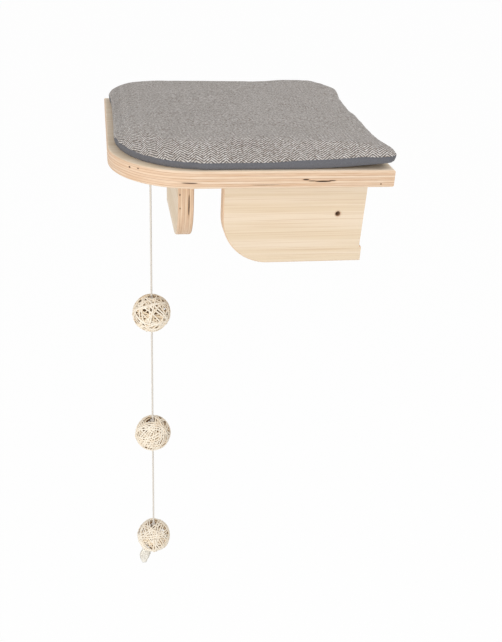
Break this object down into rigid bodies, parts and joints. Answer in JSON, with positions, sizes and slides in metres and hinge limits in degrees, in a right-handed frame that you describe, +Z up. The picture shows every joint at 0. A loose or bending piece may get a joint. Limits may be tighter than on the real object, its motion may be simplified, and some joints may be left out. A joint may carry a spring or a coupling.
{
  "type": "cat wall corner platform",
  "caption": "Plywood corner platform for a cat, on plywood brackets between two walls, with a loose cushion on top and rattan balls on a string under its rounded corner.",
  "frame": {"origin": "centre of the board's back edge, the face that meets the back wall", "axes": "+Y into the back wall, +X towards the right wall, +Z up"},
  "size_m": [0.33, 0.33, 0.6646],
  "materials": {
    "birch_plywood": "clear matt lacquer",
    "zinc_plated_steel": "zinc plated",
    "beech": "raw",
    "dark_cover_fabric": "plain woven polyester",
    "herringbone_fabric": "herringbone woven polyester",
    "polyester_wadding": "soft wadding",
    "cotton_cord": "twisted cotton",
    "rattan_vine": "raw split vine"
  },
  "bodies": {
    "platform": {"platform_top": "birch_plywood", "right_bracket": "birch_plywood", "back_bracket": "birch_plywood", "bracket_screws": "zinc_plated_steel", "dowels": "beech", "top_knot": "cotton_cord", "cord_in_board": "cotton_cord"},
    "cushion": {"cushion_base_cover": "dark_cover_fabric", "cushion_top_cover": "herringbone_fabric", "cushion_filling": "polyester_wadding"},
    "string_exit": {"cord_top": "cotton_cord"},
    "upper_string": {"cord_upper": "cotton_cord"},
    "upper_pivot": {"upper_knot": "cotton_cord"},
    "upper_ball": {"rattan_ball_upper": "rattan_vine", "cord_middle": "cotton_cord"},
    "middle_pivot": {"middle_knot": "cotton_cord"},
    "middle_ball": {"rattan_ball_middle": "rattan_vine", "cord_lower": "cotton_cord"},
    "lower_pivot": {"lower_knot": "cotton_cord"},
    "lower_ball": {"rattan_ball_lower": "rattan_vine", "cord_tail": "cotton_cord", "frayed_end": "cotton_cord"}
  },
  "joints": [
    {"name": "cushion_lift", "type": "slide", "parent": "platform", "child": "cushion", "axis": [0, 0, 1], "range_m": [0, 0.12]},
    {"name": "string_swing_x", "type": "hinge", "parent": "platform", "child": "string_exit", "pos_m": [-0.1165, -0.2815, -0.01205], "axis": [0, 1, 0], "range_deg": [-60, 60]},
    {"name": "string_swing_y", "type": "hinge", "parent": "string_exit", "child": "upper_string", "pos_m": [-0.1165, -0.2815, -0.02705], "axis": [1, 0, 0], "range_deg": [-60, 60]},
    {"name": "upper_ball_tilt_x", "type": "hinge", "parent": "upper_string", "child": "upper_pivot", "pos_m": [-0.1165, -0.2815, -0.17238], "axis": [0, 1, 0], "range_deg": [-15, 15]},
    {"name": "upper_ball_tilt_y", "type": "hinge", "parent": "upper_pivot", "child": "upper_ball", "pos_m": [-0.1165, -0.2815, -0.17238], "axis": [1, 0, 0], "range_deg": [-15, 15]},
    {"name": "middle_ball_tilt_x", "type": "hinge", "parent": "upper_ball", "child": "middle_pivot", "pos_m": [-0.1165, -0.2815, -0.35988], "axis": [0, 1, 0], "range_deg": [-15, 15]},
    {"name": "middle_ball_tilt_y", "type": "hinge", "parent": "middle_pivot", "child": "middle_ball", "pos_m": [-0.1165, -0.2815, -0.35988], "axis": [1, 0, 0], "range_deg": [-15, 15]},
    {"name": "lower_ball_tilt_x", "type": "hinge", "parent": "middle_ball", "child": "lower_pivot", "pos_m": [-0.1165, -0.2815, -0.54738], "axis": [0, 1, 0], "range_deg": [-15, 15]},
    {"name": "lower_ball_tilt_y", "type": "hinge", "parent": "lower_pivot", "child": "lower_ball", "pos_m": [-0.1165, -0.2815, -0.54738], "axis": [1, 0, 0], "range_deg": [-15, 15]}
  ]
}
